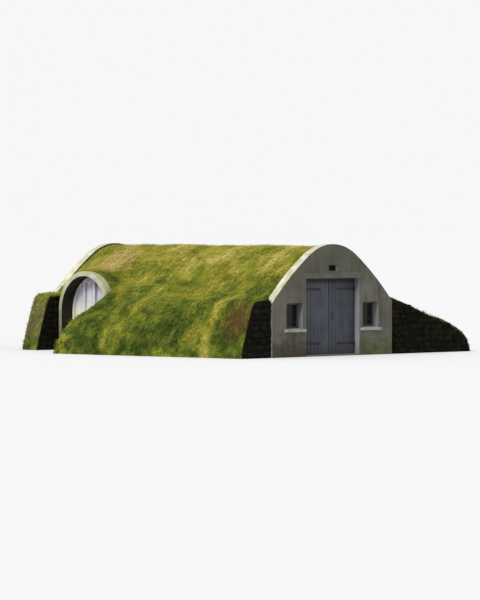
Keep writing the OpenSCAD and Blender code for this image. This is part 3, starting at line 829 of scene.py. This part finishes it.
def porch_boards(node):
    """Boards that fill a round-headed screen: grids from the floor up to the arch."""
    low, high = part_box(node)
    radius = (high[Y] - low[Y]) / 2
    pitch = 2 * radius / SCREEN_BOARDS
    groove = np.where((ACROSS_BOARD == 0) | (ACROSS_BOARD == 1), GROOVE, 0.0)
    up = np.linspace(0, 1, SCREEN_STEPS)[:, None]
    shapes = []
    for k in range(SCREEN_BOARDS):
        y = low[Y] + (k + SCREEN_GAP + (1 - 2 * SCREEN_GAP) * ACROSS_BOARD) * pitch
        z = low[Z] + up * (porch_crown(y, radius) - low[Z])
        shapes.append(closed_sheet(stacked(low[X] + groove, y, z), stacked(high[X], y, z)))
    return joined(shapes)


screen = add_piece("porch_boards", *porch_boards("porch_screen_boards"), slot="white_paint", sharp_over=25)
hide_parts("porch_screen_boards")

# %% [markdown]
# A finish is a small network of nodes. Blender's own calls take several lines for each
# node, so a class gives a short word to what every tree of nodes needs. Colours are
# written as a screen shows them and turned into linear light here.

# %% Nodes in short words
def tone(red, green, blue):
    """A colour given as screen values from 0 to 255, turned into linear light."""
    linear = [((v / 255 + 0.055) / 1.055) ** 2.4 if v > 10 else v / 255 / 12.92 for v in (red, green, blue)]
    return (*linear, 1.0)


class Nodes:
    """A tree of nodes, with short words for adding to it."""

    def __init__(self, tree):
        self.nodes, self.links = tree.nodes, tree.links

    def feed(self, socket, value):
        """Links an input to another node's output, or sets it to a plain value."""
        if isinstance(value, bpy.types.NodeSocket):
            self.links.new(value, socket)
        else:
            socket.default_value = value

    def add(self, kind, inputs, **settings):
        """Adds a node, sets its choices, and links or sets its inputs."""
        node = self.nodes.new(kind)
        for key, value in settings.items():
            setattr(node, key, value)
        for place, value in inputs.items():
            self.feed(node.inputs[place], value)
        return node

    def maths(self, operation, a, b=0.0):
        """One step of arithmetic on two values."""
        return self.add("ShaderNodeMath", {0: a, 1: b}, operation=operation).outputs[0]


print("middle grey on the screen is", round(tone(128, 128, 128)[0], 3), "in linear light")

# %% [markdown]
# The same few patterns come back in each finish: clouds, smooth steps, coats of colour. With
# a word for each, a recipe below reads as a list of coats. All patterns are read from
# Object coordinates in metres, so that a size written there is a real size.

# %% A finish in short words
class Finish(Nodes):
    """A material made of nodes. It keeps its colour so far, and most methods give back a value."""

    def __init__(self, name, roughness, specular, metallic=0.0):
        self.material = bpy.data.materials.new(name)
        self.material.use_nodes = True
        super().__init__(self.material.node_tree)
        self.inputs = self.nodes["Principled BSDF"].inputs
        self.feed(self.inputs["Roughness"], roughness)
        self.feed(self.inputs["Specular IOR Level"], specular)
        self.feed(self.inputs["Metallic"], metallic)
        self.where = self.nodes.new("ShaderNodeTexCoord").outputs["Object"]
        self.x, self.y, self.z = self.add("ShaderNodeSeparateXYZ", {0: self.where}).outputs
        self.colour = None

    def noise(self, size, detail=3.0, stretch=(1, 1, 1)):
        """Cloudy values near a half, with clouds of a size in metres, drawn out along the axes by stretch."""
        scale = [1 / (size * s) for s in stretch]
        drawn_out = self.add("ShaderNodeMapping", {"Vector": self.where, "Scale": scale}).outputs[0]
        inputs = {"Vector": drawn_out, "Scale": 1.0, "Detail": detail}
        return self.add("ShaderNodeTexNoise", inputs).outputs[0]

    def times(self, a, b):
        """The product of two values."""
        return self.maths("MULTIPLY", a, b)

    def total(self, *values):
        """The sum of several values."""
        result = values[0]
        for value in values[1:]:
            result = self.maths("ADD", result, value)
        return result

    def swing(self, value, amount):
        """A cloudy value moved to lie round zero, times an amount."""
        return self.times(self.maths("SUBTRACT", value, 0.5), amount)

    def rise(self, value, low, high):
        """Smooth step from 0 below the low value to 1 above the high one."""
        inputs = {"Value": value, "From Min": low, "From Max": high}
        return self.add("ShaderNodeMapRange", inputs, interpolation_type="SMOOTHSTEP").outputs[0]

    def fall(self, value, low, high):
        """Smooth step from 1 below the low value to 0 above the high one."""
        return self.maths("SUBTRACT", 1.0, self.rise(value, low, high))

    def foot(self, cloud, amount, low, high):
        """1 near the ground and 0 higher up, with an edge that wanders with a cloud."""
        return self.fall(self.total(self.z, self.swing(cloud, amount)), low, high)

    def near(self, place, full, none):
        """1 within the full distance of a place, and 0 beyond the other."""
        distance = self.add("ShaderNodeVectorMath", {0: self.where, 1: place}, operation="DISTANCE")
        return self.fall(distance.outputs["Value"], full, none)

    def attribute(self, name):
        """A value stored on the mesh's points."""
        return self.add("ShaderNodeAttribute", {}, attribute_name=name).outputs["Fac"]

    def mix(self, share, a, b, way="MIX"):
        """Colour b over colour a by a share."""
        inputs = {0: share, 6: a, 7: b}
        return self.add("ShaderNodeMix", inputs, data_type="RGBA", blend_type=way).outputs[2]

    def ramp(self, value, *stops):
        """A colour for each value, blended between stops of (value, colour)."""
        node = self.add("ShaderNodeValToRGB", {0: value})
        elements = node.color_ramp.elements
        while len(elements) < len(stops):
            elements.new(0.5)
        for element, (place, colour) in zip(elements, stops):
            element.position = place
            element.color = colour
        return node.outputs[0]

    def coat(self, share, amount, colour):
        """Lays a colour over the colour so far, by a share times an amount."""
        self.colour = self.mix(self.times(share, amount), self.colour, colour)

    def done(self, height, depth, roughness=None):
        """Feeds the shader its colour, a bump of a depth in metres, and a roughness that varies, if any."""
        self.feed(self.inputs["Base Color"], self.colour)
        bump = self.add("ShaderNodeBump", {"Height": height, "Distance": depth, "Strength": 1.0})
        self.feed(self.inputs["Normal"], bump.outputs[0])
        if roughness is not None:
            self.feed(self.inputs["Roughness"], roughness)
        print(self.material.name, "is a finish of", len(self.nodes), "nodes")
        return self.material


# %% [markdown]
# Turf bleaches to straw where it dries first, along the ridge, and stays green where the
# wet runs down. Drifts and clumps break the change of colour up. Near the front gable the
# grass is painted darker as shade, a pale straw streak runs down the slope beyond it, and
# the sods at the foot there are brown. On the near side of the porch's ring a dark brown
# patch is painted shade. A patch is a place, two distances, an amount and a colour.

# %% Turf and grass
TURF_TONES = [
    (0.0, tone(72, 90, 30)), (0.22, tone(108, 122, 42)), (0.42, tone(142, 146, 50)),
    (0.6, tone(166, 160, 58)), (0.8, tone(190, 178, 84)), (1.0, tone(210, 198, 124)),
]
TURF_PATCHES = [
    ((-1.0, 3.0, 2.55), 0.25, 0.95, 0.7, tone(206, 178, 118)),
    # Painted shade: the dark brown patch on the near side of the porch's ring.
    ((-2.1, 2.7, 2.3), 0.15, 0.6, 0.55, tone(88, 78, 38)),
    ((-3.1, 4.5, 0.9), 0.3, 0.9, 0.6, tone(146, 138, 92)),
    ((-2.95, -4.25, 0.95), 0.2, 0.8, 0.8, tone(120, 92, 52)),
]
STREAK_Y = -3.42


def turf_colour(finish, extra):
    """Colour of the turf over the house, from how dry each place is and painted shade near the front gable,
    with the patches over it.
    """
    height = finish.rise(finish.z, 0.7, 2.9)
    drift = finish.swing(finish.noise(1.5, stretch=(1, 0.7, 1)), 1.1)
    clump = finish.swing(finish.noise(0.36, 2.0), 1.2)
    # Painted shade: the turf near the front gable is made greener and darker.
    gable_shade = finish.fall(finish.y, -4.2, -3.5)
    off_streak = finish.maths("ABSOLUTE", finish.total(finish.y, -STREAK_Y))
    streak = finish.times(finish.fall(off_streak, 0.05, 0.24), finish.fall(finish.x, -0.5, 0.2))
    dry = finish.total(finish.times(height, 0.42), drift, clump, finish.times(gable_shade, -0.12),
                       finish.times(streak, 0.34), extra, 0.2)
    finish.colour = finish.ramp(dry, *TURF_TONES)
    for place, full, none, amount, colour in TURF_PATCHES:
        finish.coat(finish.near(place, full, none), amount, colour)
    return finish.colour


def turf_earth():
    """Thatch and soil under the blades: the grass's colour, with painted shade darkening the hollows."""
    finish = Finish("turf_earth", roughness=0.95, specular=0.1)
    fine = finish.noise(0.05, 5.0)
    # Painted shade: the low places of the fine noise, which is also the bump, are darkened.
    shade = finish.ramp(fine, (0.35, (0.45, 0.45, 0.45, 1)), (0.65, (0.95, 0.95, 0.95, 1)))
    finish.colour = finish.mix(1.0, turf_colour(finish, 0.0), shade, "MULTIPLY")
    return finish.done(fine, 0.03)


def grass():
    """Blades: painted shade darkens them at the root and a painted highlight brightens the tip, each a little
    drier or greener.
    """
    finish = Finish("grass", roughness=0.75, specular=0.15)
    own = finish.swing(finish.attribute("dry"), 0.3)
    # Painted shade at the roots and a painted highlight at the tips, multiplied over the turf's colour.
    root, blade, top = (0.55, 0.55, 0.55, 1), (1, 1, 1, 1), (1.25, 1.25, 1.2, 1)
    tip = finish.ramp(finish.attribute("tip"), (0.0, root), (0.5, blade), (1.0, top))
    finish.colour = finish.mix(1.0, turf_colour(finish, own), tip, "MULTIPLY")
    return finish.done(finish.noise(0.02), 0.002)


# %% [markdown]
# The gables are bare concrete. Rain leaves dark runs. The foot is stained brown on the left
# and greener on the right, with a spot of rust and some moss. The sides of the openings
# that face left are painted paler, as painted light, and the upward-facing upper edge is
# painted as a pale sunlit band on the left and a duller shaded one on the right.

# %% The gables' concrete
RUST_AT = (-1.5, -4.75, 0.05)
CAST_BOARD = 0.075


def gable_concrete():
    """Weathered wall: patches and runs on grey, a stained foot, faint lines of the boards it was cast in."""
    finish = Finish("gable_concrete", roughness=0.9, specular=0.2)
    x, z = finish.x, finish.z
    patch = finish.noise(0.8, 4.0)
    greys = (0.3, tone(84, 82, 72)), (0.5, tone(98, 96, 86)), (0.7, tone(110, 109, 100))
    finish.colour = finish.ramp(patch, *greys)
    runs = finish.noise(0.16, stretch=(1, 1, 7))
    finish.coat(finish.rise(runs, 0.5, 0.68), 0.5, tone(64, 62, 54))
    finish.coat(finish.rise(z, 1.9, 2.5), 0.4, tone(70, 70, 60))
    stain = finish.mix(finish.rise(x, -0.6, 0.9), tone(50, 44, 40), tone(82, 88, 58))
    finish.coat(finish.foot(finish.noise(0.35), -1.1, 0.05, 0.75), 0.75, stain)
    rusty = finish.rise(finish.noise(0.14), 0.42, 0.58)
    finish.coat(finish.times(finish.near(RUST_AT, 0.15, 0.7), rusty), 0.7, tone(76, 55, 50))
    mossy = finish.rise(finish.noise(0.22), 0.52, 0.64)
    finish.coat(finish.times(finish.fall(z, 0.1, 0.9), mossy), 0.7, tone(66, 74, 40))
    # Painted light: sides that face left, the reveals of the openings, are painted paler as if lit.
    normal = finish.add("ShaderNodeNewGeometry", {}).outputs["Normal"]
    facing = finish.add("ShaderNodeSeparateXYZ", {0: normal}).outputs
    reveal_light = finish.ramp(patch, (0.3, tone(114, 114, 117)), (0.7, tone(140, 140, 143)))
    finish.coat(finish.rise(finish.times(facing[0], -1.0), 0.6, 0.9), 1.0, reveal_light)
    # Painted light and shade: the upward-facing upper edge is a pale sunlit band on the left and a duller
    # shaded band on the right.
    off_vent = finish.rise(finish.maths("ABSOLUTE", x), 0.25, 0.35)
    on_coping = finish.maths("MAXIMUM", off_vent, finish.rise(z, 2.7, 2.8))
    sunlit_coping = finish.ramp(finish.noise(0.2), (0.35, tone(180, 176, 148)), (0.65, tone(218, 214, 190)))
    edge = finish.mix(finish.rise(x, 0.1, 0.9), sunlit_coping, tone(112, 110, 96))
    finish.coat(finish.rise(facing[2], 0.25, 0.45), on_coping, edge)
    joint = finish.fall(finish.maths("PINGPONG", z, CAST_BOARD), 0.002, 0.007)
    height = finish.total(finish.times(finish.noise(0.012, 4.0), 0.35), finish.times(joint, -0.5), patch)
    return finish.done(height, 0.006)


# %% [markdown]
# Concrete cast in a smooth form is paler and plainer than the gables. The porch is limewashed
# over it; inside its arch the wash is painted near black as shade, and the lower far leg is
# painted darker as shade.

# %% Smooth concrete and limewash
def room_concrete():
    """Plain cast concrete of the inside: mottled grey with a fine grain, damp at the foot."""
    finish = Finish("room_concrete", roughness=0.92, specular=0.2)
    patch = finish.noise(0.5, 5.0)
    finish.colour = finish.ramp(patch, (0.3, tone(104, 102, 96)), (0.7, tone(138, 136, 130)))
    finish.coat(finish.foot(patch, -1.5, 0.0, 0.5), 0.5, tone(84, 80, 70))
    return finish.done(finish.noise(0.02, 5.0), 0.003)


def cast_trim():
    """Cast concrete: pale on the sills, painted as dark as the shaded wall on the lintel, streaked below."""
    finish = Finish("cast_trim", roughness=0.85, specular=0.25)
    patch = finish.noise(0.3, 4.0)
    finish.colour = finish.ramp(patch, (0.3, tone(136, 136, 130)), (0.7, tone(166, 165, 158)))
    # Painted shade: higher up, on the lintel, the trim is painted as dark as the shaded wall.
    lintel = finish.ramp(patch, (0.3, tone(82, 82, 70)), (0.7, tone(102, 102, 90)))
    finish.coat(finish.rise(finish.z, 1.2, 1.6), 1.0, lintel)
    runs = finish.noise(0.07, stretch=(1, 1, 6))
    finish.coat(finish.rise(runs, 0.52, 0.7), 0.5, tone(78, 76, 66))
    return finish.done(finish.noise(0.015, 4.0), 0.002)


def limewash():
    """Cream limewash, worn grey in places and stained at the foot; painted shade on the lower far leg and
    near black painted shade inside the arch.
    """
    finish = Finish("limewash", roughness=0.9, specular=0.2)
    y, z = finish.y, finish.z
    brush = finish.noise(0.25, 5.0)
    creams = (0.3, tone(152, 152, 124)), (0.55, tone(178, 178, 148)), (0.75, tone(198, 197, 170))
    finish.colour = finish.ramp(brush, *creams)
    finish.coat(finish.rise(finish.noise(0.09, 4.0), 0.56, 0.68), 0.55, tone(126, 122, 100))
    # Painted shade: the lower part of the ring's far leg is painted darker.
    far_leg_shade = finish.times(finish.rise(y, 3.3, 3.8), finish.fall(z, 0.9, 1.7))
    finish.coat(far_leg_shade, 0.7, tone(104, 104, 84))
    finish.coat(finish.foot(finish.noise(0.3), -1.2, 0.1, 1.0), 0.75, tone(98, 94, 62))
    off = finish.maths("SUBTRACT", y, PORCH_Y)
    over = finish.maths("MAXIMUM", finish.maths("SUBTRACT", z, PORCH_SPRING_Z), 0.0)
    radius = finish.maths("SQRT", finish.total(finish.times(off, off), finish.times(over, over)))
    # Painted shade: inside the arch, nearer the axis than the ring's inner face, everything is painted near
    # black.
    arch_shade = finish.ramp(brush, (0.3, tone(24, 24, 12)), (0.7, tone(44, 43, 26)))
    finish.coat(finish.fall(radius, RING_INNER + 0.006, RING_INNER + 0.02), 1.0, arch_shade)
    return finish.done(finish.total(brush, finish.times(finish.noise(0.015, 4.0), 0.4)), 0.005)


# %% [markdown]
# Paint on outdoor boards chalks and wears along the grain. The grain is noise drawn out
# along the board; where it peaks the wood shows through.

# %% Paint on boards
def slate_paint():
    """Slate-blue door paint: chalky runs, bare wood on the high grain, a painted shadow along the head, dirty
    foot.
    """
    finish = Finish("slate_paint", roughness=0.7, specular=0.3)
    grain = finish.noise(0.022, 4.0, stretch=(1, 1, 16))
    faded = finish.noise(0.4, stretch=(1, 1, 2))
    finish.colour = finish.ramp(faded, (0.35, tone(62, 66, 74)), (0.65, tone(78, 82, 90)))
    darker = finish.ramp(faded, (0.35, tone(50, 54, 62)), (0.65, tone(68, 72, 80)))
    finish.coat(finish.rise(finish.x, -0.01, 0.01), 1.0, darker)
    finish.coat(finish.rise(grain, 0.57, 0.7), 0.5, tone(98, 96, 92))
    finish.coat(finish.foot(faded, -0.8, 0.05, 0.5), 0.5, tone(62, 60, 54))
    # Painted shadow: the top of the doors, under the lintel, is painted near black.
    finish.coat(finish.rise(finish.z, 1.93, 2.04), 0.8, tone(32, 33, 32))
    return finish.done(grain, 0.002, finish.total(0.5, finish.times(grain, 0.4)))


def white_paint():
    """Old white paint: upright streaks, worn along the grain, lavender-grey painted shade above and cream
    below.
    """
    finish = Finish("white_paint", roughness=0.65, specular=0.3)
    grain = finish.noise(0.02, 4.0, stretch=(1, 1, 14))
    streak = finish.noise(0.1, stretch=(1, 1, 6))
    # Painted shade: the upper part is painted a darker lavender-grey for the shade under the porch's arch;
    # the cream lower part is the lit copy.
    finish.colour = finish.ramp(streak, (0.3, tone(164, 163, 172)), (0.7, tone(208, 207, 214)))
    cream = finish.ramp(streak, (0.3, tone(200, 201, 174)), (0.7, tone(238, 238, 212)))
    finish.coat(finish.foot(streak, 0.8, 0.9, 1.6), 1.0, cream)
    finish.coat(finish.rise(grain, 0.6, 0.72), 0.45, tone(140, 136, 126))
    return finish.done(grain, 0.0015)


def sash_paint():
    """Window frames: dark grey paint, with bare wood on the high grain."""
    finish = Finish("sash_paint", roughness=0.75, specular=0.25)
    grain = finish.noise(0.015, 4.0, stretch=(1, 1, 12))
    finish.colour = finish.ramp(grain, (0.35, tone(62, 62, 58)), (0.65, tone(92, 92, 86)))
    return finish.done(grain, 0.001)


# %% [markdown]
# Iron rusts and stone grows moss in cloudy patches: one more coat of colour, laid where a
# noise passes a threshold. Rust and dust also make a surface duller, so they feed its
# roughness too.

# %% Iron, glass, tar and stone
def forged_iron():
    """Dark iron with rust in cloudy patches and a hammered skin."""
    finish = Finish("forged_iron", roughness=0.6, specular=0.4, metallic=0.35)
    rust = finish.rise(finish.noise(0.05, 5.0), 0.46, 0.6)
    finish.colour = finish.mix(rust, tone(40, 41, 44), tone(52, 43, 40))
    return finish.done(finish.noise(0.018), 0.002, finish.total(0.45, finish.times(rust, 0.4)))


def window_glass():
    """Dusty pane: painted nearly black for the dark room behind it, glossy, with dust in cloudy patches."""
    finish = Finish("window_glass", roughness=0.12, specular=0.18)
    dust = finish.noise(0.12, 4.0)
    # Painted shade: the pane is opaque and painted near black where a dark room would show through.
    finish.colour = finish.ramp(dust, (0.4, tone(20, 21, 18)), (0.75, tone(40, 41, 36)))
    return finish.done(finish.noise(0.2), 0.0006, finish.total(0.06, finish.times(dust, 0.25)))


def tarred_wood():
    """Tarred slats: brown-black with a dull gloss along the grain."""
    finish = Finish("tarred_wood", roughness=0.6, specular=0.3)
    grain = finish.noise(0.01, 4.0, stretch=(12, 1, 1))
    finish.colour = finish.ramp(grain, (0.35, tone(26, 24, 22)), (0.7, tone(52, 48, 43)))
    return finish.done(grain, 0.001)


def field_stone():
    """Dark basalt, painted darker still to near black as shade: each stone its own tone, moss in the hollows
    and specks of lichen.
    """
    finish = Finish("field_stone", roughness=0.95, specular=0.08)
    # Partly painted shade: the stones are real dark basalt, darkened further to near black for the shade on
    # the end walls.
    shades = (0.35, tone(8, 7, 3)), (0.5, tone(14, 12, 7)), (0.65, tone(24, 21, 14))
    finish.colour = finish.ramp(finish.noise(0.3, 1.0), *shades)
    finish.coat(finish.rise(finish.noise(0.16, 4.0), 0.5, 0.62), 0.7, tone(28, 32, 12))
    finish.coat(finish.rise(finish.noise(0.035, 2.0), 0.66, 0.7), 0.4, tone(66, 64, 50))
    return finish.done(finish.noise(0.03, 5.0), 0.008)


def dark_earth():
    """Earth packed between the stones: dark, and painted further to near black as shade, crumbly, with
    threads of moss.
    """
    finish = Finish("dark_earth", roughness=0.97, specular=0.1)
    crumbs = finish.noise(0.03, 5.0)
    # Partly painted shade: dark earth, darkened further to near black for the shade between and behind the
    # stones.
    finish.colour = finish.ramp(crumbs, (0.35, tone(10, 8, 4)), (0.7, tone(22, 18, 10)))
    finish.coat(finish.rise(finish.noise(0.2, 4.0), 0.52, 0.64), 0.6, tone(24, 28, 10))
    return finish.done(crumbs, 0.02)


# %% [markdown]
# The record names a slot for each node of the frame, and the pieces made above carry the
# same slots. One table from slot to finish dresses them all; only the blades, the stones
# and the window frames have a finish of their own.

# %% Dress every piece
FINISHES = {
    "concrete": gable_concrete(), "inner_concrete": room_concrete(), "pale_concrete": cast_trim(),
    "whitewash": limewash(), "slate_paint": slate_paint(), "white_paint": white_paint(),
    "iron": forged_iron(), "glass": window_glass(), "dark_wood": tarred_wood(),
    "turf": turf_earth(), "dark_stone": dark_earth(),
}
OWN_FINISH = {"grass_": grass(), "stones_": field_stone(), "window_frames": sash_paint()}
node_slots = {row["node"]: row["material_slot"] for row in frame["record"]["subparts"]}
dressed = 0
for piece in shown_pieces():
    finish = FINISHES[piece.get("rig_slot") or node_slots[piece.name]]
    for start, own in OWN_FINISH.items():
        if piece.name.startswith(start):
            finish = own
    piece.data.materials.clear()
    piece.data.materials.append(finish)
    dressed += 1
print("dressed", dressed, "pieces")

# %% [markdown]
# Long-lens pictures flatten depth. The camera stands far off, round to the left of the
# front and low, with a narrow lens, as in the photograph.

# %% Camera
CAMERA_AZIMUTH = math.radians(-42)
CAMERA_RISE = math.radians(1.2)
CAMERA_DISTANCE = 95.0
CAMERA_SEES = 1000
FRAME_WIDTH_M = 13.6
SENSOR_LONG = 36.0
PICTURE_W, PICTURE_H = 480, 600
LOOK_AT = Vector((0.55, -0.35, 1.45))


def aim(thing, back):
    """Turns a camera or a lamp so that it looks away from the direction given as back."""
    thing.rotation_mode = "QUATERNION"
    thing.rotation_quaternion = back.to_track_quat("Z", "Y")


camera_data = bpy.data.cameras.new("camera")
camera = placed("camera", camera_data)
bpy.context.scene.camera = camera
back = Vector((
    math.sin(CAMERA_AZIMUTH) * math.cos(CAMERA_RISE),
    -math.cos(CAMERA_AZIMUTH) * math.cos(CAMERA_RISE),
    math.sin(CAMERA_RISE),
))
camera.location = LOOK_AT + back * CAMERA_DISTANCE
aim(camera, back)
camera_data.sensor_width = SENSOR_LONG
sensor_short = SENSOR_LONG * PICTURE_W / PICTURE_H
camera_data.lens = sensor_short * CAMERA_DISTANCE / FRAME_WIDTH_M
camera_data.clip_end = CAMERA_SEES
print("lens", round(camera_data.lens), "mm at", CAMERA_DISTANCE, "m")

# %% [markdown]
# The light is plain: an even pale sky for the whole scene and one broad lamp from the
# left, so that the flank is lit and the gable stands in soft shade. What the camera sees
# of the sky, straight on or in a pane, is brighter than its light.

# %% Floor, sky and lamp
SKY_STRENGTH = 0.62
SKY_SEEN = 0.93
FLOOR_WHITE = 0.86
FLOOR_HALF = 4000.0
LAMP_FROM = Vector((-1.0, -0.22, 0.85)).normalized()
LAMP_ENERGY = 2.3
LAMP_ANGLE = math.radians(20)

floor_mesh = bpy.data.meshes.new("floor")
signs = [(-1, -1), (1, -1), (1, 1), (-1, 1)]
floor_mesh.from_pydata([(x * FLOOR_HALF, y * FLOOR_HALF, 0) for x, y in signs], [], [(0, 1, 2, 3)])
floor_finish = Finish("studio_floor", roughness=1.0, specular=0.0)
floor_finish.feed(floor_finish.inputs["Base Color"], (FLOOR_WHITE, FLOOR_WHITE, FLOOR_WHITE, 1))
floor_mesh.materials.append(floor_finish.material)
floor = placed("floor", floor_mesh)

world = bpy.data.worlds.new("sky")
bpy.context.scene.world = world
world.use_nodes = True
sky = Nodes(world.node_tree)
rays = sky.add("ShaderNodeLightPath", {}).outputs
mirrored = sky.maths("MAXIMUM", rays["Is Glossy Ray"], rays["Is Transmission Ray"])
seen = sky.maths("MAXIMUM", rays["Is Camera Ray"], mirrored)
strength = sky.add("ShaderNodeMapRange", {"Value": seen, "To Min": SKY_STRENGTH, "To Max": SKY_SEEN})
background = sky.nodes["Background"].inputs
sky.feed(background["Color"], (1, 1, 1, 1))
sky.feed(background["Strength"], strength.outputs[0])

lamp_data = bpy.data.lights.new("lamp", "SUN")
lamp_data.energy = LAMP_ENERGY
lamp_data.angle = LAMP_ANGLE
aim(placed("lamp", lamp_data), LAMP_FROM)
bpy.context.scene.view_settings.view_transform = "Standard"
print("lamp from", [round(v, 2) for v in LAMP_FROM])
